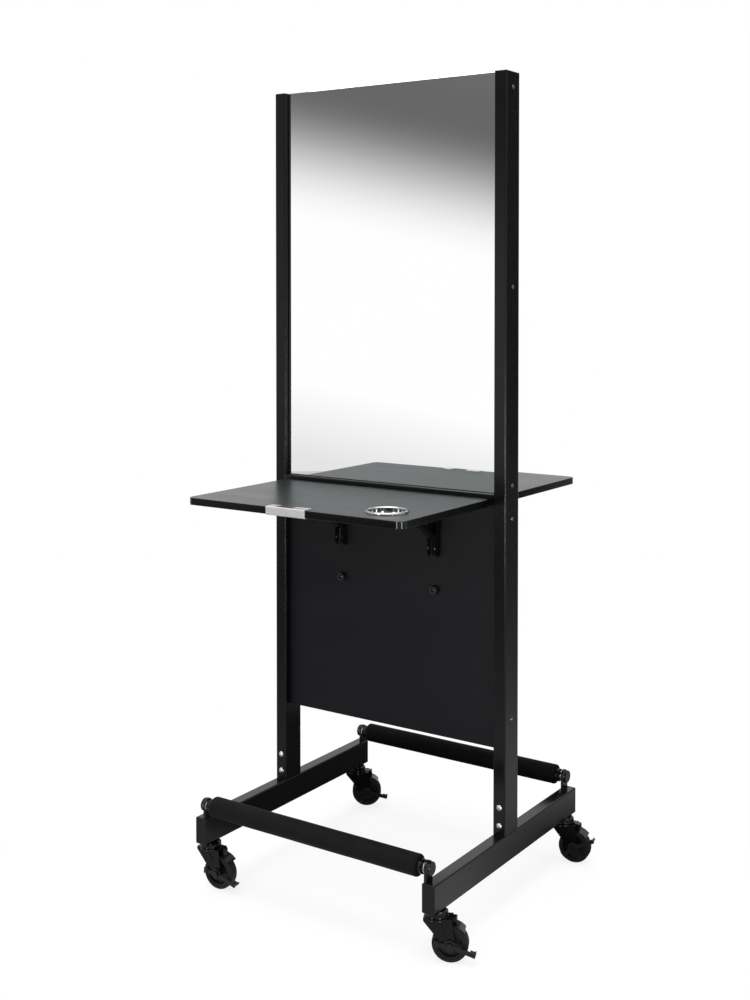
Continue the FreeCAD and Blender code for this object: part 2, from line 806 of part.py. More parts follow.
# -------------------------------------------------------------- foot rests
def rest_tube():
    """Tube along X, with a collar, a threaded plug and a stepped neck at each end."""
    shoulder = rest_end - neck_length
    tube = cylinder(rest_tube_radius, 2 * shoulder, Vector(-shoulder, 0, 0), X_AXIS)
    tube = tube.cut(cylinder(rest_tube_radius - rest_tube_wall, 2 * shoulder,
                             Vector(-shoulder, 0, 0), X_AXIS))
    plug = revolved([
        (rest_bolt_radius + pin_gap, shoulder - rest_plug_length),
        (rest_tube_radius - rest_tube_wall, shoulder - rest_plug_length),
        (rest_tube_radius - rest_tube_wall, shoulder - collar_length),
        (collar_radius, shoulder - collar_length),
        (collar_radius, shoulder),
        (neck_radius, shoulder),
        (neck_radius, rest_end - neck_washer),
        (neck_washer_radius, rest_end - neck_washer),
        (neck_washer_radius, rest_end),
        (rest_bolt_radius + pin_gap, rest_end),
    ], X_AXIS)
    tube = tube.fuse([plug, mirrored_x(plug)]).removeSplitter()
    return moved(tube, y=-rest_y, z=rest_axis_z)


def rest_foam():
    sleeve = cylinder(foam_radius, 2 * foam_half_length, Vector(-foam_half_length, 0, 0), X_AXIS)
    sleeve = filleted(sleeve, foam_round, lambda box: box.XLength < pin_gap)
    bore = cylinder(rest_tube_radius + move_gap, 2 * foam_half_length,
                    Vector(-foam_half_length, 0, 0), X_AXIS)
    return moved(sleeve.cut(bore), y=-rest_y, z=rest_axis_z)


def rest_bolts():
    """Disc headed bolts through the posts into the ends of the bars."""
    top = rest_washer + rest_cap_height
    bolt = revolved([
        (0.0, -rest_bolt_length),
        (rest_bolt_radius, -rest_bolt_length),
        (rest_bolt_radius, 0.0),
        (rest_washer_radius, 0.0),
        (rest_washer_radius, rest_washer),
        (rest_cap_radius, rest_washer),
        (rest_cap_radius, top - rest_cap_bevel),
        (rest_cap_radius - rest_cap_bevel, top),
        (0.0, top),
    ], X_AXIS)
    right = moved(bolt, post_x + post_thickness / 2.0, -rest_y, rest_axis_z)
    return both_sides(right) + both_sides(mirrored_x(right))


# ---------------------------------------------------------------- casters
# A caster is modelled on the floor under its swivel axis, trailing towards +X.
leg_inner = tyre_width / 2.0 + leg_gap
leg_outer = leg_inner + leg_thickness
crown_bottom = crown_top - crown_thickness
axle_place = Vector(wheel_trail, 0, wheel_radius)
race_bottom = caster_height - race_top - race_skirt
race_ceiling = caster_height - race_top - race_wall


def rolled_edge(bottom):
    """Outline of a rolled edge about the ball race, from its top down to its bottom."""
    points = []
    for turn in (60.0, 30.0, 0.0, -30.0, -60.0, -90.0):
        along = math.radians(turn)
        points.append((race_radius + rim_bead_out - rim_bead * (1.0 - math.cos(along)),
                       bottom + rim_bead * (1.0 + math.sin(along))))
    return points


def caster_head():
    """Stem, ball race cup and kingpin, fixed to the base rail."""
    kingpin_end = crown_bottom - move_gap
    return revolved([
        (0.0, caster_height + stem_length),
        (stem_radius, caster_height + stem_length),
        (stem_radius, caster_height),
        (race_neck_radius, caster_height),
        (race_radius - race_wall, caster_height - race_top / 2.0),
        (race_radius, caster_height - race_top),
    ] + rolled_edge(race_bottom) + [
        (race_radius - race_wall, race_bottom),
        (race_radius - race_wall, race_ceiling),
        (kingpin_radius, race_ceiling),
        (kingpin_radius, kingpin_end),
        (kingpin_head_radius, kingpin_end),
        (kingpin_head_radius - kingpin_head_bevel, kingpin_end - kingpin_head_height),
        (0.0, kingpin_end - kingpin_head_height),
    ])


def tangent_point(point, centre, radius, side):
    """Where a line from the point touches the circle, in the XZ plane."""
    dx = centre.x - point.x
    dz = centre.z - point.z
    distance = math.hypot(dx, dz)
    turn = math.atan2(dz, dx) + side * math.asin(radius / distance)
    reach = math.sqrt(distance ** 2 - radius ** 2)
    return Vector(point.x + reach * math.cos(turn), 0, point.z + reach * math.sin(turn))


def fork_leg(inner_y):
    """Tapered leg from the crown to a round end about the axle."""
    front_top = Vector(-leg_front, 0, crown_top)
    knee = Vector(-leg_front, 0, crown_top - leg_shoulder)
    back = Vector(leg_back, 0, crown_bottom)
    back_top = Vector(leg_back, 0, crown_top)
    front_touch = tangent_point(knee, axle_place, leg_end_radius, -1.0)
    back_touch = tangent_point(back, axle_place, leg_end_radius, 1.0)
    lowest = axle_place - Z_AXIS * leg_end_radius
    wire = Part.Wire([
        Part.makeLine(front_top, knee),
        Part.makeLine(knee, front_touch),
        Part.Arc(front_touch, lowest, back_touch).toShape(),
        Part.makeLine(back_touch, back),
        Part.makeLine(back, back_top),
        Part.makeLine(back_top, front_top),
    ])
    return moved(Part.Face(wire).extrude(Y_AXIS * leg_thickness), y=inner_y)


def leg_rib(side):
    """Pressed rib on the outside of a leg, on the line from the crown to the axle."""
    top = Vector(0, 0, crown_top)
    down = (axle_place - top).normalize()
    upper = top + down * leg_rib_drop
    lower = upper + down * leg_rib_length
    across = Vector(-down.z, 0, down.x) * leg_rib_radius
    wire = Part.Wire([
        Part.makeLine(upper + across, lower + across),
        Part.Arc(lower + across, lower + down * leg_rib_radius, lower - across).toShape(),
        Part.makeLine(lower - across, upper - across),
        Part.Arc(upper - across, upper - down * leg_rib_radius, upper + across).toShape(),
    ])
    rib = Part.Face(wire).extrude(Y_AXIS * (side * leg_rib_height))
    return moved(rib, y=side * leg_outer)


def fork_hood():
    """Curved hood over the top and trailing side of the wheel."""
    inner = wheel_radius + hood_gap
    outer = inner + hood_thickness
    start = math.radians(hood_start)
    end = math.radians(hood_end)

    def at(radius, turn):
        return Vector(radius * math.cos(turn), 0, radius * math.sin(turn))

    middle = (start + end) / 2.0
    wire = Part.Wire([
        Part.Arc(at(outer, start), at(outer, middle), at(outer, end)).toShape(),
        Part.makeLine(at(outer, end), at(inner, end)),
        Part.Arc(at(inner, end), at(inner, middle), at(inner, start)).toShape(),
        Part.makeLine(at(inner, start), at(outer, start)),
    ])
    hood = Part.Face(wire).extrude(Y_AXIS * (2 * leg_outer))
    return moved(hood, wheel_trail, -leg_outer, wheel_radius)


def lock_housing():
    """Bevelled block on the hood, behind the ball race, that holds the brake lock."""
    bottom = wheel_radius + axle_place.z
    block = Part.makeBox(lock_length, lock_width, lock_top - bottom,
                         Vector(lock_front, -lock_width / 2.0, bottom))
    trailing = [edge for edge in block.Edges if edge.BoundBox.ZMin > lock_top - pin_gap
                and edge.BoundBox.XMin > lock_front + lock_length - pin_gap]
    block = block.makeChamfer(lock_slope, trailing)
    wheel_space = cylinder(wheel_radius + hood_gap, 2 * lock_width,
                           axle_place - Y_AXIS * lock_width, Y_AXIS)
    return block.cut(wheel_space)


def fork():
    crown = revolved([
        (kingpin_radius + pin_gap, crown_bottom),
    ] + rolled_edge(crown_bottom)[::-1] + [
        (race_radius, crown_top),
        (race_radius - race_wall - move_gap, race_bottom - move_gap),
        (raceway_radius, race_bottom - move_gap),
        (raceway_radius, race_ceiling - move_gap),
        (kingpin_radius + pin_gap, race_ceiling - move_gap),
    ])
    bridge = Part.makeBox(leg_front + leg_back, 2 * leg_outer, crown_thickness,
                          Vector(-leg_front, -leg_outer, crown_bottom))
    bridge = bridge.cut(cylinder(raceway_radius, 2 * crown_top))
    pieces = [bridge, fork_leg(leg_inner), fork_leg(-leg_outer), leg_rib(1.0),
              leg_rib(-1.0), fork_hood(), lock_housing()]
    body = crown.fuse(pieces)
    axle_bore = cylinder(axle_radius + pin_gap, 4 * leg_outer,
                         axle_place - Y_AXIS * (2 * leg_outer), Y_AXIS)
    return body.cut(axle_bore).removeSplitter()


def pedal_inner_y():
    return -(leg_outer + move_gap)


def axle():
    """Bolt through pedal, fork and hub, with its nut on the far side."""
    near = pedal_inner_y() - pedal_thickness - move_gap
    shank = cylinder(axle_radius, leg_outer - near, Vector(0, near, 0), Y_AXIS)
    head = aimed(hex_prism(2 * axle_head_radius, axle_head_height), Y_AXIS * -1.0)
    nut = aimed(hex_prism(2 * axle_head_radius, axle_head_height), Y_AXIS)
    bolt = shank.fuse([moved(head, y=near), moved(nut, y=leg_outer)])
    return moved(bolt, axle_place.x, 0, axle_place.z)


def wheel_hub():
    bearing = leg_inner - move_gap
    web = hub_web / 2.0
    rim_inner = rim_radius - rim_thickness
    half = [(hub_radius, bearing), (hub_radius, web), (rim_inner, web),
            (rim_inner, rim_width / 2.0), (rim_radius, rim_width / 2.0)]
    bore = axle_radius + pin_gap
    lower = [(radius, -height) for radius, height in reversed(half)]
    hub = revolved([(bore, bearing)] + half + lower + [(bore, -bearing)])
    return moved(aimed(hub, Y_AXIS), axle_place.x, 0, axle_place.z)


def tyre():
    """Solid tyre bonded to the hub, with rounded shoulders."""
    half = tyre_width / 2.0
    shoulder = [(wheel_radius - tyre_shoulder * (1.0 - math.cos(math.radians(turn))),
                 half - tyre_shoulder * (1.0 - math.sin(math.radians(turn))))
                for turn in (90.0, 60.0, 30.0, 0.0)]
    near = [(rim_radius + glue_gap, half)] + shoulder
    far = [(radius, -place) for radius, place in reversed(near)]
    return moved(revolved(near + far, Y_AXIS), axle_place.x, 0, axle_place.z)


def brake_pedal(angle):
    """Two ended rocker about the axle, its tread angle degrees above level."""
    outer_y = pedal_inner_y() - pedal_thickness
    boss = cylinder(pedal_boss_radius, pedal_thickness, Vector(0, outer_y, 0), Y_AXIS)
    arm = Part.makeBox(tread_outer, pedal_thickness, pedal_arm_width,
                       Vector(0, outer_y, -pedal_arm_width / 2.0))
    short_arm = Part.makeBox(pedal_reach, pedal_thickness, pedal_arm_width,
                             Vector(-pedal_reach, outer_y, -pedal_arm_width / 2.0))
    tread = Part.makeBox(tread_outer - tread_inner, tread_width, tread_thickness,
                         Vector(tread_inner, outer_y, -tread_thickness / 2.0))
    lip = Part.makeBox(tread_lip, tread_width, tread_thickness,
                       Vector(tread_outer - tread_lip, outer_y, tread_lip - tread_thickness / 2.0))
    lug = Part.makeBox(pedal_lug, pedal_thickness + pedal_lug_out, pedal_lug_height,
                       Vector(-pedal_reach, outer_y - pedal_lug_out, -pedal_arm_width / 2.0))
    short_end = turned(short_arm.fuse(lug), -pedal_bend, Y_AXIS)
    body = boss.fuse([arm, tread, lip, short_end])
    bore = cylinder(axle_radius + pin_gap, 3 * pedal_thickness,
                    Vector(0, outer_y - pedal_thickness, 0), Y_AXIS)
    body = body.cut(bore).removeSplitter()
    return moved(turned(body, -angle, Y_AXIS), axle_place.x, 0, axle_place.z)


def caster_places():
    """Swivel axis of each caster by corner."""
    return {
        "front_left": Vector(-caster_x, -caster_y, 0),
        "front_right": Vector(caster_x, -caster_y, 0),
        "rear_left": Vector(-caster_x, caster_y, 0),
        "rear_right": Vector(caster_x, caster_y, 0),
    }


def at_caster(shape, corner):
    place = caster_places()[corner]
    return moved(turned(shape, caster_angles[corner]), place.x, place.y)


# ---------------------------------------------------------------- export
def export(node, solids):
    shape = solids[0] if len(solids) == 1 else Part.makeCompound(solids)
    shape.exportStep(os.path.join("parts", node + ".step"))


def sided_nodes():
    """Pieces of the front half; the rear half has the same ones, turned."""
    return {
        "mirror": [front_mirror()],
        "shelf_board": [shelf_board()],
        "shelf_edge_band": [shelf_band()],
        "dryer_ring": [dryer_ring()],
        "edge_plate": [edge_plate()],
        "shelf_arms": left_and_right(shelf_arm(), bracket_x),
        "shelf_arm_screws": arm_screws(),
        "struts": left_and_right(strut(), bracket_x),
        "strut_pins": left_and_right(slot_pin(), bracket_x),
        "foot_rest_foam": [rest_foam()],
    }


def caster_nodes(corner):
    pedal = brake_pedal(brake_angles[corner])
    pieces = {"fork": fork(), "axle": axle(), "hub": wheel_hub(), "tyre": tyre(),
              "brake_pedal": pedal}
    return {name: [at_caster(shape, corner)] for name, shape in pieces.items()}


def frame_nodes():
    heads = [at_caster(caster_head(), corner) for corner in caster_angles]
    return {
        "left_base_rail": [turned(right_base_rail(), 180.0)],
        "right_base_rail": [right_base_rail()],
        "left_upright": [upright(-upright_x)],
        "right_upright": [upright(upright_x)],
        "tube_caps": tube_caps(),
        "cross_rail": [cross_rail()],
        "joint_screws": joint_screws(),
        "side_screws": side_screws(),
        "mirror_core": [mirror_core()],
        "lower_panel": [lower_panel()],
        "wall_arms": wall_arms(),
        "bracket_pins": bracket_pins(),
        "wall_arm_screws": wall_screws(),
        "bumpers": placed_bumpers(bumper(), 0.0),
        "bumper_screws": placed_bumpers(bumper_screw(), bumper_length - bumper_recess),
        "foot_rest_tubes": both_sides(rest_tube()),
        "foot_rest_bolts": rest_bolts(),
        "caster_heads": heads,
    }


def main():
    os.makedirs("parts", exist_ok=True)
    for node, solids in frame_nodes().items():
        export(node, solids)
    for name, solids in sided_nodes().items():
        export("front_" + name, solids)
        export("rear_" + name, [turned(solid, 180.0) for solid in solids])
    for corner in caster_angles:
        for name, solids in caster_nodes(corner).items():
            export(corner + "_" + name, solids)


main()
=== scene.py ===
import math

import bmesh
import bpy
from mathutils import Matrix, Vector, noise


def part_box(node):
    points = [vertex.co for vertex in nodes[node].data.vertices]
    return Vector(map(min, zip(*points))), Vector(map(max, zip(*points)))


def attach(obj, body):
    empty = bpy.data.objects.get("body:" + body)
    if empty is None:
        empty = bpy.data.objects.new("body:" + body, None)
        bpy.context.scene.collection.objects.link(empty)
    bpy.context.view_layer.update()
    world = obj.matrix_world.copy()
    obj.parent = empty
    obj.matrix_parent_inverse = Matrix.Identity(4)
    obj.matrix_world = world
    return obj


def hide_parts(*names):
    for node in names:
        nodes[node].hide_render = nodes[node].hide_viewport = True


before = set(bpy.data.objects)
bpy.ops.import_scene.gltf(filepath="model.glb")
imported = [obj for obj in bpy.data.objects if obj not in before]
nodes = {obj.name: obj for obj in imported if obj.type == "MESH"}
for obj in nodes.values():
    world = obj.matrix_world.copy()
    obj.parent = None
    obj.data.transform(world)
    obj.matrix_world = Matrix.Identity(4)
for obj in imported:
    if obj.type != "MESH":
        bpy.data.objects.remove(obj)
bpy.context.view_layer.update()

# Double sided salon station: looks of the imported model, in metres.
# X runs along the width, the front shelf looks along -Y, Z is up.

scene = bpy.context.scene

# The photograph was taken level, with more shift. This camera is tilted instead, so that
# views from other sides keep the whole station in the picture.
CAMERA_SENSOR = 36.0             # millimetres, along the picture's longer side
CAMERA_LENS = 47.7865            # millimetres
CAMERA_SHIFT = -0.176
CAMERA_PLACE = (1.69366, -2.55805, 1.34997)
CAMERA_PITCH = 88.6521           # degrees up from straight down
CAMERA_YAW = 34.2119             # degrees to the left of +Y
CAMERA_REACH = 60.0

# Foam sleeves
SLEEVE_BORE = 0.0128             # radius
SLEEVE_ROLL = 0.004              # radius of the rolled ends
SLEEVE_DISH = 0.0006             # hollow of the end faces
SLEEVE_LIP = 0.002               # slope of the bore's mouth
SLEEVE_SKIN = 0.0004             # the skin's unevenness, for which the sleeve is drawn in
SKIN_ALONG = 9.0                 # how fast the unevenness changes along the sleeve
SKIN_ROUND = 1.3                 # and round it
SLEEVE_STEPS = 110               # faces along it
SLEEVE_TURNS = 5                 # faces along a rolled end
SLEEVE_AROUND = 72               # faces round it

# Floor, seen by the camera: paper, which fades into pure white round the station.
FLOOR_RADIUS = 7.0
FLOOR_CORNERS = 96
PAPER_FADE = (0.45, 0.95)        # distances from the middle
PAPER_WHITE = 0.8                # share of pure white in the paper near the middle

# Floor, met by all other rays: a glow that depends on the place. Stops give the share of
# the floor's radius, and the level.
FLOOR_TINT = (0.96, 0.945, 0.985)
OPEN_FLOOR = ((0.1, 0.95), (0.3, 0.78), (0.55, 0.62), (0.97, 0.897))
SHADED_FLOOR = ((0.07, 0.95), (0.115, 0.9), (0.15, 0.72), (0.27, 0.42), (0.37, 0.24),
                (0.5, 0.12), (0.7, 0.05), (0.83, 0.08), (0.99, 0.85))
FLAG_FLOOR = (0.545, 0.839, 0.0)     # way to the flag's shade on the floor
FLAG_FLOOR_EDGE = (0.9900, 0.9962)   # cosines of its soft outer edge and of its full shade
FRONT_FLOOR = (-0.53, -0.848, 0.0)   # way to the floor that the front faces mirror
FRONT_FLOOR_EDGE = (0.883, 0.94)
POOL_MIDDLE = (0.0, 0.4, 0.0)        # the station's own shade
POOL_EDGE = (0.40, 0.60)
POOL_LEVEL = 0.1
REARWARD = (-0.6, 0.6)               # along Y, the floor's level falls between these two
REARWARD_LEVELS = (0.8, 0.64)
REAR_FLOOR = (0.8, 2.4)              # along Y, it turns into the rear wall's level
FAR_FLOOR = (4.0, 5.5)               # distances between which it darkens to the flag

# World, met by all rays but the camera's: a studio whose front and rear differ.
ROOM_YAW = 34.11                 # degrees; the front wall is what the mirror shows
FRONT_EDGE = (0.0, 0.5)          # cosines between the rear and the full front
FRONT_TINT = (1.0, 0.93, 0.945)
FRONT_LEVEL = 1.15
SIDE_REACH = 0.14                # the ceiling's edge tilts within this share to each side
SIDE_RISE = 0.0315
LEAST_AHEAD = 0.02               # keeps the slopes finite
WALL_FOOT = (-0.137, -0.079)     # slopes between which the wall comes to its full level
WALL_LEVELS = (0.78, 1.0)
CEILING_EDGE = (0.03, 0.149)     # slopes between which it fades into the dark ceiling
CEILING = (0.16, 0.22)           # slopes between which the ceiling's level rises
CEILING_LEVELS = (0.135, 0.17)
SKYLIGHT = (0.16, 0.42)          # heights between which the light above it comes in
REAR_LEVEL = 0.85
DARK_LEVEL = 0.03
FLAG = (0.485, 0.875, 0.0)       # way to the black flag behind the right side
FLAG_EDGE = (0.9816, 0.9945)     # cosines of its soft outer edge and of its full dark
FLAG_TOP = (0.35, 0.8)           # heights between which it ends

# Lamps: name, place, target, size, watts, spread in degrees
LAMPS = (
    ("softbox_top", (0.0, -0.3, 3.6), (0.0, 0.0, 0.0), (3.2, 3.2), 110.0, 180.0),
    ("box_front", (-0.36, -3.38, 0.5), (0.0, 0.0, 0.5), (0.5, 0.7), 1.4, 34.0),
    ("box_right", (2.90, -1.78, 0.5), (0.0, 0.0, 0.5), (0.5, 0.7), 1.4, 34.0),
)

NOISE_RANGE = (0.3, 0.7)         # holds most values of a noise texture


# ---------------------------------------------------------------- camera
def add_camera():
    """Nearly level view from the right of the front user, above the shelves."""
    data = bpy.data.cameras.new("camera")
    camera = bpy.data.objects.new("camera", data)
    scene.collection.objects.link(camera)
    data.sensor_width = CAMERA_SENSOR
    data.lens = CAMERA_LENS
    data.shift_y = CAMERA_SHIFT
    data.clip_end = CAMERA_REACH
    camera.location = CAMERA_PLACE
    camera.rotation_euler = (math.radians(CAMERA_PITCH), 0.0, math.radians(CAMERA_YAW))
    scene.camera = camera


# ---------------------------------------------------------------- shader nodes
def grey(level, red=1.0, green=1.0, blue=1.0):
    return (level * red, level * green, level * blue, 1.0)


class Tree:
    """Shader nodes, made and linked in one call each."""

    def __init__(self, tree):
        self.tree = tree

    def node(self, kind, **settings):
        made = self.tree.nodes.new(kind)
        for key, value in settings.items():
            setattr(made, key, value)
        return made

    def feed(self, socket, value):
        if hasattr(value, "is_output"):
            self.tree.links.new(value, socket)
        else:
            socket.default_value = value

    def number(self, operation, *values):
        made = self.node("ShaderNodeMath", operation=operation)
        for socket, value in zip(made.inputs, values):
            self.feed(socket, value)
        return made.outputs["Value"]

    def vector(self, operation, *values, gives="Vector"):
        made = self.node("ShaderNodeVectorMath", operation=operation)
        for socket, value in zip(made.inputs, values):
            self.feed(socket, value)
        return made.outputs[gives]

    def along(self, place, way):
        """How far the place lies along the way."""
        return self.vector("DOT_PRODUCT", place, way, gives="Value")

    def parts(self, place):
        made = self.node("ShaderNodeSeparateXYZ")
        self.feed(made.inputs["Vector"], place)
        return made.outputs

    def spread(self, value, low, high, to_low=0.0, to_high=1.0, kind="LINEAR"):
        """The value between low and high, mapped to the range to_low to to_high."""
        made = self.node("ShaderNodeMapRange", interpolation_type=kind)
        self.feed(made.inputs["Value"], value)
        for socket, number in (("From Min", low), ("From Max", high),
                               ("To Min", to_low), ("To Max", to_high)):
            made.inputs[socket].default_value = number
        return made.outputs["Result"]

    def blend(self, factor, first, second):
        made = self.node("ShaderNodeMix", data_type="RGBA")
        self.feed(made.inputs[0], factor)
        self.feed(made.inputs[6], first)
        self.feed(made.inputs[7], second)
        return made.outputs[2]

    def ramp(self, value, stops, tint, last_tint):
        """Levels at the stops, in the tint; the last stop has its own."""
        made = self.node("ShaderNodeValToRGB")
        self.feed(made.inputs["Fac"], value)
        elements = made.color_ramp.elements
        while len(elements) < len(stops):
            elements.new(0.5)
        tints = [tint] * (len(stops) - 1) + [last_tint]
        for element, (position, level), shade in zip(elements, stops, tints):
            element.position = position
            element.color = grey(level, *shade)
        return made.outputs["Color"]

    def mixed(self, factor, first, second):
        """Mix of two shaders."""
        made = self.node("ShaderNodeMixShader")
        self.feed(made.inputs["Fac"], factor)
        self.feed(made.inputs[1], first)
        self.feed(made.inputs[2], second)
        return made.outputs["Shader"]

    def for_camera(self, seen, met):
        """The first shader for camera rays, the second for all others."""
        return self.mixed(self.node("ShaderNodeLightPath").outputs["Is Camera Ray"], met, seen)


class Paint(Tree):
    """A node material round one Principled shader, in metres of the part's frame."""

    def __init__(self, name, roughness, metallic=0.0, **constants):
        self.material = bpy.data.materials.new(name)
        self.material.use_nodes = True
        super().__init__(self.material.node_tree)
        self.shader = self.tree.nodes["Principled BSDF"]
        self.place = self.node("ShaderNodeTexCoord").outputs["Object"]
        self.shader.inputs["Metallic"].default_value = metallic
        self.shader.inputs["Roughness"].default_value = roughness
        for socket, value in constants.items():
            self.shader.inputs[socket.replace("_", " ")].default_value = value
        self.normal = None

    def stretched(self, factors):
        """The place, scaled by the three factors."""
        scale = self.node("ShaderNodeMapping")
        self.feed(scale.inputs["Vector"], self.place)
        scale.inputs["Scale"].default_value = factors
        return scale.outputs["Vector"]

    def noise(self, scale, detail=2.0, place=None):
        made = self.node("ShaderNodeTexNoise")
        self.feed(made.inputs["Vector"], place or self.place)
        made.inputs["Scale"].default_value = scale
        made.inputs["Detail"].default_value = detail
        return made.outputs["Fac"]

    def cells(self, scale):
        made = self.node("ShaderNodeTexVoronoi")
        self.feed(made.inputs["Vector"], self.place)
        made.inputs["Scale"].default_value = scale
        return made.outputs["Distance"]

    def colour(self, factor, first, second):
        self.feed(self.shader.inputs["Base Color"], self.blend(factor, first, second))

    def roughness(self, pattern, least, most, held=NOISE_RANGE):
        """Roughness from least to most as the pattern runs through the held range."""
        self.feed(self.shader.inputs["Roughness"], self.spread(pattern, *held, least, most))

    def bump(self, height, distance, strength=1.0):
        made = self.node("ShaderNodeBump")
        made.inputs["Strength"].default_value = strength
        made.inputs["Distance"].default_value = distance
        self.feed(made.inputs["Height"], height)
        if self.normal:
            self.feed(made.inputs["Normal"], self.normal)
        self.normal = made.outputs["Normal"]
        self.feed(self.shader.inputs["Normal"], self.normal)


# ---------------------------------------------------------------- materials
# A scale of n draws about n grains to the metre. Bump distances are in metres.
def powder_coat(name, roughness, specular, dark=0.0015, light=0.003):
    """Sprayed powder: a trace of orange peel and faint cloudiness."""
    paint = Paint(name, roughness, Specular_IOR_Level=specular)
    paint.colour(paint.noise(14.0, 3.0), grey(dark), grey(light))
    paint.roughness(paint.noise(60.0), roughness - 0.005, roughness + 0.02)
    paint.bump(paint.noise(900.0, 1.0), 0.0000025)
    paint.bump(paint.noise(3200.0), 0.000004)
    return paint.material


def laminate(name, dark, light, roughness, grain, specular, tint, shine):
    """Pressed board face: fine leathery grain, with faint wiping marks."""
    paint = Paint(name, roughness, Specular_IOR_Level=specular, Specular_Tint=shine)
    wiped = paint.noise(5.0, 4.0, paint.stretched((1.0, 2.5, 2.5)))
    paint.colour(wiped, grey(dark, *tint), grey(light, *tint))
    paint.roughness(wiped, roughness - 0.03, roughness + 0.03)
    paint.bump(paint.cells(grain), 0.00003)
    paint.bump(paint.noise(grain * 0.4, 3.0), 0.00005)
    return paint.material


def edge_banding(name):
    """Plastic edge band: satin, with fine lines left by the trimmer along it."""
    paint = Paint(name, 0.13, Specular_IOR_Level=0.34)
    lines = paint.noise(60.0, 2.0, paint.stretched((1.0, 1.0, 60.0)))
    paint.colour(lines, grey(0.001), grey(0.002))
    paint.roughness(lines, 0.10, 0.16)
    paint.bump(lines, 0.00002)
    return paint.material


def mirror_glass(name):
    """Silvered float glass: a trace of green and of unevenness."""
    paint = Paint(name, 0.0, 1.0)
    haze = paint.noise(6.0, 3.0)
    paint.colour(haze, (0.865, 0.93, 0.918, 1.0), (0.875, 0.935, 0.923, 1.0))
    paint.roughness(haze, 0.0, 0.012, (0.35, 0.75))
    return paint.material


def polished(name, level, roughness):
    """Plated or oiled metal, with fine polishing marks."""
    paint = Paint(name, roughness, 1.0)
    marks = paint.noise(400.0, 4.0, paint.stretched((1.0, 1.0, 6.0)))
    paint.colour(marks, grey(level * 0.94), grey(level))
    paint.roughness(marks, roughness * 0.7, roughness * 1.6)
    paint.bump(paint.noise(90.0), 0.00003)
    return paint.material


def brushed(name, level, factors, roughness):
    """Brushed sheet: fine lines drawn out along the sheet."""
    paint = Paint(name, roughness, 1.0, Anisotropic=0.4)
    lines = paint.noise(2500.0, 3.0, paint.stretched(factors))
    paint.colour(lines, grey(level * 0.82, 1.0, 0.985, 0.96), grey(level))
    paint.roughness(lines, roughness * 0.8, roughness * 1.25)
    paint.bump(lines, 0.000015)
    return paint.material


def foam_rubber(name, level, specular):
    """Closed cell foam: pores under a millimetre across beneath a dull skin; the pores are
    drawn darker where they dent in, painted shade in their hollows.
    """
    paint = Paint(name, 0.72, Specular_IOR_Level=specular, Sheen_Weight=0.01,
                  Sheen_Roughness=0.5)
    pores = paint.cells(1500.0)
    cloud = paint.noise(22.0, 4.0)
    skin = paint.blend(cloud, grey(level * 0.77), grey(level * 1.23))
    # painted shade: the pore centres, where the bump dents in, get a darker colour than the
    # skin
    paint.colour(paint.spread(pores, 0.0, 0.35), grey(level * 0.46), skin)
    paint.roughness(cloud, 0.66, 0.8)
    paint.bump(pores, 0.00012, 0.7)
    paint.bump(paint.noise(260.0, 3.0), 0.00018)
    return paint.material


def moulded(name, dark, light, roughness, specular):
    """Injection moulded plastic or rubber: spark eroded grain."""
    paint = Paint(name, roughness, Specular_IOR_Level=specular)
    grain = paint.noise(1600.0, 3.0)
    paint.colour(paint.noise(35.0, 3.0), grey(dark), grey(light))
    paint.roughness(grain, roughness - 0.06, roughness + 0.08)
    paint.bump(grain, 0.00005)
    return paint.material


def tyre_rubber(name):
    """Tread rubber with a dusty running surface."""
    paint = Paint(name, 0.6, Specular_IOR_Level=0.22)
    dust = paint.noise(120.0, 4.0)
    paint.colour(paint.spread(dust, 0.45, 0.75), grey(0.005), grey(0.010))
    paint.roughness(dust, 0.52, 0.7)
    paint.bump(paint.noise(1300.0), 0.00008)
    return paint.material


def painted_with_washer(name, low, high):
    """Black paint, with bare zinc where the distance from the middle is low to high."""
    edge = 0.0001
    paint = Paint(name, 0.2, Specular_IOR_Level=0.22)
    away = paint.number("ABSOLUTE", paint.parts(paint.place)["X"])
    past = paint.spread(away, low - edge, low)
    short = paint.spread(away, high, high + edge, 1.0, 0.0)
    zinc = paint.number("MULTIPLY", past, short)
    cloud = paint.blend(paint.noise(40.0, 3.0), grey(0.002), grey(0.004))
    paint.colour(zinc, cloud, grey(0.45))
    paint.feed(paint.shader.inputs["Metallic"], zinc)
    paint.roughness(paint.noise(300.0, 3.0), 0.16, 0.26)
    paint.bump(paint.noise(1200.0, 1.0), 0.00002)
    return paint.material


def give(material, *names):
    """Puts the material on the named nodes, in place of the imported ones."""
    for name in names:
        held = nodes[name].data.materials
        held.clear()
        held.append(material)


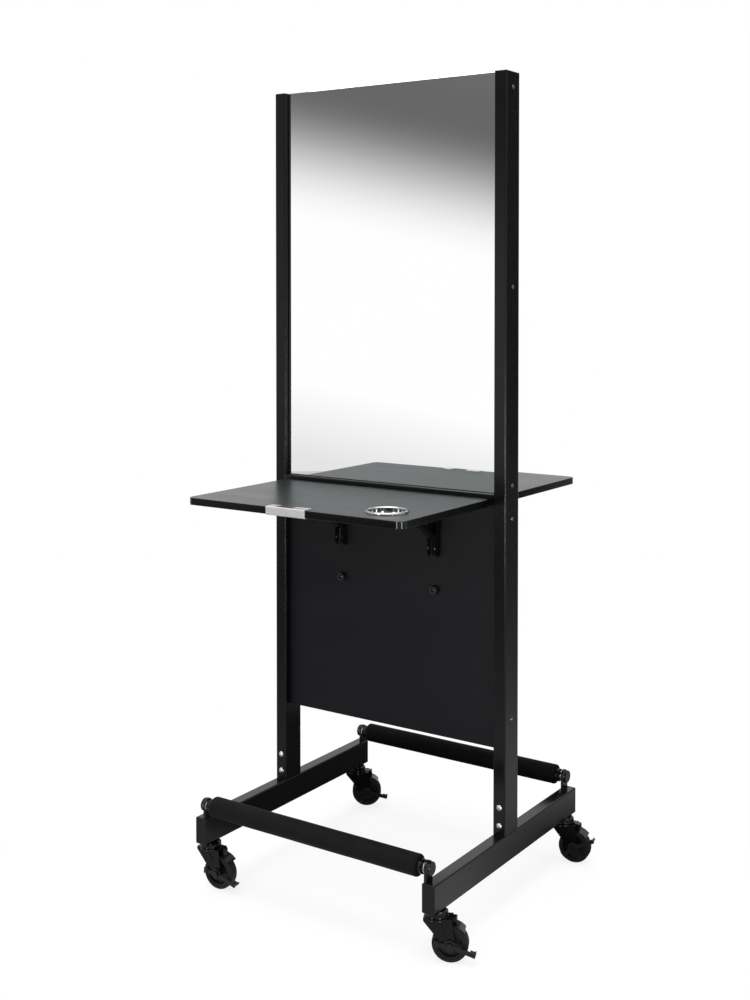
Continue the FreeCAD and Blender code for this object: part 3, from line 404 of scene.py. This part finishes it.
def dress_nodes():
    coat = powder_coat("powder_coat", roughness=0.18, specular=0.27)
    left_coat = powder_coat("left_coat", roughness=0.27, specular=0.21)
    rail_coat = powder_coat("rail_coat", roughness=0.21, specular=0.36)
    gloss = powder_coat("gloss_black", roughness=0.07, specular=0.6)
    caster = powder_coat("caster_black", roughness=0.06, specular=0.24,
                         dark=0.001, light=0.002)
    bar = painted_with_washer("bar_paint", low=0.2884, high=0.2903)
    bolt = painted_with_washer("bolt_paint", low=0.2964, high=0.2985)
    board = laminate("board_laminate", dark=0.0028, light=0.0045, roughness=0.42,
                     grain=1800.0, specular=0.14, tint=(0.85, 1.0, 1.25),
                     shine=(1.0, 1.0, 1.0, 1.0))
    shelf = laminate("shelf_laminate", dark=0.012, light=0.017, roughness=0.3,
                     grain=1500.0, specular=0.45, tint=(0.8, 1.0, 1.05),
                     shine=(0.95, 0.99, 1.0, 1.0))
    band = edge_banding("edge_band")
    glass = mirror_glass("mirror_glass")
    chrome = polished("chrome", level=0.38, roughness=0.10)
    zinc = polished("bright_screws", level=0.55, roughness=0.26)
    black_zinc = polished("black_screws", level=0.12, roughness=0.12)
    axle = polished("black_axle", level=0.04, roughness=0.24)
    plate = brushed("brushed_plate", level=0.65, factors=(0.02, 1.0, 1.0), roughness=0.34)
    cap = moulded("cap_plastic", dark=0.003, light=0.005, roughness=0.4, specular=0.2)
    rubber = moulded("bumper_rubber", dark=0.003, light=0.005, roughness=0.45, specular=0.3)
    plastic = moulded("caster_plastic", dark=0.004, light=0.007, roughness=0.34,
                      specular=0.3)
    tread = tyre_rubber("tyre_rubber")
    give(left_coat, "left_upright")
    give(coat, "right_upright", "cross_rail")
    give(rail_coat, "left_base_rail", "right_base_rail")
    give(bar, "foot_rest_tubes")
    give(bolt, "foot_rest_bolts")
    give(cap, "tube_caps")
    give(board, "mirror_core", "lower_panel")
    give(glass, "front_mirror", "rear_mirror")
    give(zinc, "joint_screws", "wall_arm_screws")
    give(black_zinc, "side_screws", "bracket_pins", "bumper_screws")
    give(gloss, "wall_arms")
    give(rubber, "bumpers")
    give(caster, "caster_heads")
    for side in ("front_", "rear_"):
        give(shelf, side + "shelf_board")
        give(band, side + "shelf_edge_band")
        give(chrome, side + "dryer_ring")
        give(plate, side + "edge_plate")
        give(gloss, side + "shelf_arms", side + "struts")
        give(zinc, side + "shelf_arm_screws")
        give(black_zinc, side + "strut_pins")
    for corner in ("front_left_", "front_right_", "rear_left_", "rear_right_"):
        give(caster, corner + "fork")
        give(axle, corner + "axle")
        give(tread, corner + "tyre")
        give(plastic, corner + "hub", corner + "brake_pedal")


# ---------------------------------------------------------------- foam sleeves
def sleeve_profile(half, outer, inner):
    """(x, radius) round the sleeve's section: outside, rolled end, bore, other end."""
    roll = SLEEVE_ROLL
    points = []
    for step in range(SLEEVE_STEPS + 1):
        points.append((-half + roll + (2 * half - 2 * roll) * step / SLEEVE_STEPS, outer))
    for turn in range(1, SLEEVE_TURNS + 1):
        angle = math.radians(90.0 - 90.0 / SLEEVE_TURNS * turn)
        points.append((half - roll + roll * math.cos(angle),
                       outer - roll + roll * math.sin(angle)))
    points.append((half - SLEEVE_DISH, (outer + inner) / 2.0))
    points.append((half, inner + SLEEVE_LIP))
    points.append((half - SLEEVE_LIP, inner))
    mirror = [(-x, radius) for x, radius in reversed(points[SLEEVE_STEPS + 1:])]
    return points + mirror


def foam_sleeve(node, name, seed):
    """Soft sleeve pushed onto the bar: slightly uneven, pinched at its ends."""
    low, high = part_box(node)
    centre = (low + high) / 2.0
    outer = (high.z - low.z) / 2.0
    half = (high.x - low.x) / 2.0
    mesh = bmesh.new()
    rings = []
    for x, radius in sleeve_profile(half, outer - SLEEVE_SKIN, SLEEVE_BORE):
        ring = []
        for step in range(SLEEVE_AROUND):
            turn = 2.0 * math.pi * step / SLEEVE_AROUND
            place = Vector((x * SKIN_ALONG, math.cos(turn) * SKIN_ROUND + seed,
                            math.sin(turn) * SKIN_ROUND))
            soft = 0.0
            if radius > SLEEVE_BORE + SLEEVE_ROLL:
                soft = SLEEVE_SKIN * noise.noise(place)
            reach = radius + soft
            ring.append(mesh.verts.new((centre.x + x, centre.y + reach * math.cos(turn),
                                        centre.z + reach * math.sin(turn))))
        rings.append(ring)
    for number, ring in enumerate(rings):
        following = rings[(number + 1) % len(rings)]
        for step in range(SLEEVE_AROUND):
            ahead = (step + 1) % SLEEVE_AROUND
            mesh.faces.new((ring[step], ring[ahead], following[ahead], following[step]))
    bmesh.ops.recalc_face_normals(mesh, faces=mesh.faces)
    data = bpy.data.meshes.new(name)
    mesh.to_mesh(data)
    mesh.free()
    data.shade_smooth()
    sleeve = bpy.data.objects.new(name, data)
    scene.collection.objects.link(sleeve)
    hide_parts(node)
    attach(sleeve, "frame")
    return sleeve


def add_foam():
    """Both sleeves; the rear one lies in the station's shade, and its darker, duller copy of
    the foam is painted shade.
    """
    for side, seed, level, specular in (("front", 0.0, 0.00325, 0.11),
                                        # painted shade: the rear sleeve is the same foam,
                                        # given a lower level and specular for the shade it
                                        # lies in
                                        ("rear", 7.3, 0.0018, 0.06)):
        sleeve = foam_sleeve(side + "_foot_rest_foam", side + "_foam_sleeve", seed)
        sleeve.data.materials.append(foam_rubber(side + "_foam_rubber", level, specular))


# ---------------------------------------------------------------- studio
def floor_object():
    points = [(FLOOR_RADIUS * math.cos(2.0 * math.pi * step / FLOOR_CORNERS),
               FLOOR_RADIUS * math.sin(2.0 * math.pi * step / FLOOR_CORNERS), 0.0)
              for step in range(FLOOR_CORNERS)]
    data = bpy.data.meshes.new("floor")
    data.from_pydata(points, [], [tuple(range(FLOOR_CORNERS))])
    floor = bpy.data.objects.new("floor", data)
    scene.collection.objects.link(floor)
    return floor


def floor_glow(paint, reach):
    """Colour of the light that the floor gives to all but the camera's rays."""
    out = paint.spread(reach, 0.0, FLOOR_RADIUS)
    shaded = paint.ramp(out, SHADED_FLOOR, FLOOR_TINT, FRONT_TINT)
    open_floor = paint.ramp(out, OPEN_FLOOR, FLOOR_TINT, FRONT_TINT)
    heading = paint.vector("NORMALIZE", paint.place)
    flagged = paint.spread(paint.along(heading, FLAG_FLOOR), *FLAG_FLOOR_EDGE)
    front = paint.spread(paint.along(heading, FRONT_FLOOR), *FRONT_FLOOR_EDGE)
    around = paint.blend(paint.number("MAXIMUM", flagged, front), open_floor, shaded)
    under = paint.vector("DISTANCE", paint.place, POOL_MIDDLE, gives="Value")
    pool = paint.spread(under, *POOL_EDGE, POOL_LEVEL, 1.0)
    rearward = paint.parts(paint.place)["Y"]
    strength = paint.number("MULTIPLY", pool,
                            paint.spread(rearward, *REARWARD, *REARWARD_LEVELS))
    near = paint.blend(strength, grey(0.0), around)
    rear = paint.blend(paint.spread(rearward, *REAR_FLOOR), near, grey(REAR_LEVEL))
    flag = paint.blend(paint.spread(reach, *FAR_FLOOR), near, grey(DARK_LEVEL))
    return paint.blend(flagged, rear, flag)


def add_floor():
    """White paper: it keeps a soft shadow, and lights the station like a studio's."""
    floor = floor_object()
    paint = Paint("floor_paper", 0.9, Specular_IOR_Level=0.0)
    paint.colour(paint.noise(3.0), grey(0.90), grey(0.92))
    reach = paint.vector("LENGTH", paint.place, gives="Value")

    def glow(colour):
        made = paint.node("ShaderNodeEmission")
        paint.feed(made.inputs["Color"], colour)
        return made.outputs["Emission"]

    fade = paint.spread(reach, *PAPER_FADE, PAPER_WHITE, 1.0)
    seen = paint.mixed(fade, paint.shader.outputs["BSDF"], glow(grey(1.0)))
    paint.feed(paint.tree.nodes["Material Output"].inputs["Surface"],
               paint.for_camera(seen, glow(floor_glow(paint, reach))))
    floor.data.materials.append(paint.material)


def add_lamp(name, place, target, size, energy, spread):
    data = bpy.data.lights.new(name, "AREA")
    data.shape = "RECTANGLE"
    data.size, data.size_y = size
    data.energy = energy
    data.spread = math.radians(spread)
    lamp = bpy.data.objects.new(name, data)
    scene.collection.objects.link(lamp)
    lamp.location = place
    aim = Vector(target) - Vector(place)
    lamp.rotation_euler = aim.to_track_quat("-Z", "Y").to_euler()


def add_world():
    """White studio: in front a wall that ends in a dark ceiling's edge, at the rear a
    pale wall with a black flag, and pure white behind all of it for the camera."""
    world = bpy.data.worlds.new("studio")
    scene.world = world
    world.use_nodes = True
    room = Tree(world.node_tree)
    room.tree.nodes.clear()
    direction = room.node("ShaderNodeTexCoord").outputs["Generated"]
    turn = math.radians(ROOM_YAW)
    height = room.along(direction, (0.0, 0.0, 1.0))
    ahead = room.along(direction, (-math.sin(turn), -math.cos(turn), 0.0))
    aside = room.along(direction, (math.cos(turn), -math.sin(turn), 0.0))

    tilt = room.spread(aside, -SIDE_REACH, SIDE_REACH, -SIDE_RISE, SIDE_RISE)
    slope = room.number("DIVIDE", room.number("ADD", tilt, height),
                        room.number("MAXIMUM", ahead, LEAST_AHEAD))
    shade = room.blend(room.spread(slope, *CEILING_EDGE, kind="SMOOTHERSTEP"),
                       room.spread(slope, *WALL_FOOT, *WALL_LEVELS),
                       room.spread(slope, *CEILING, *CEILING_LEVELS))
    tinted = room.vector("MULTIPLY", shade, FRONT_TINT)
    front = room.vector("MULTIPLY",
                        room.vector("ADD", tinted, room.spread(height, *SKYLIGHT)),
                        (FRONT_LEVEL, FRONT_LEVEL, FRONT_LEVEL))

    level = room.vector("MULTIPLY", direction, (1.0, 1.0, 0.0))
    facing = room.along(room.vector("NORMALIZE", level), FLAG)
    rear = room.blend(room.spread(facing, *FLAG_EDGE, kind="SMOOTHSTEP"), grey(REAR_LEVEL),
                      room.spread(height, *FLAG_TOP, DARK_LEVEL, REAR_LEVEL))

    def background(colour):
        made = room.node("ShaderNodeBackground")
        room.feed(made.inputs["Color"], colour)
        return made.outputs["Background"]

    met = room.blend(room.spread(ahead, *FRONT_EDGE, kind="SMOOTHSTEP"), rear, front)
    output = room.node("ShaderNodeOutputWorld")
    room.feed(output.inputs["Surface"],
              room.for_camera(background(grey(1.0)), background(met)))


add_camera()
dress_nodes()
add_foam()
add_floor()
add_world()
for lamp in LAMPS:
    add_lamp(*lamp)
scene.view_settings.view_transform = "Standard"
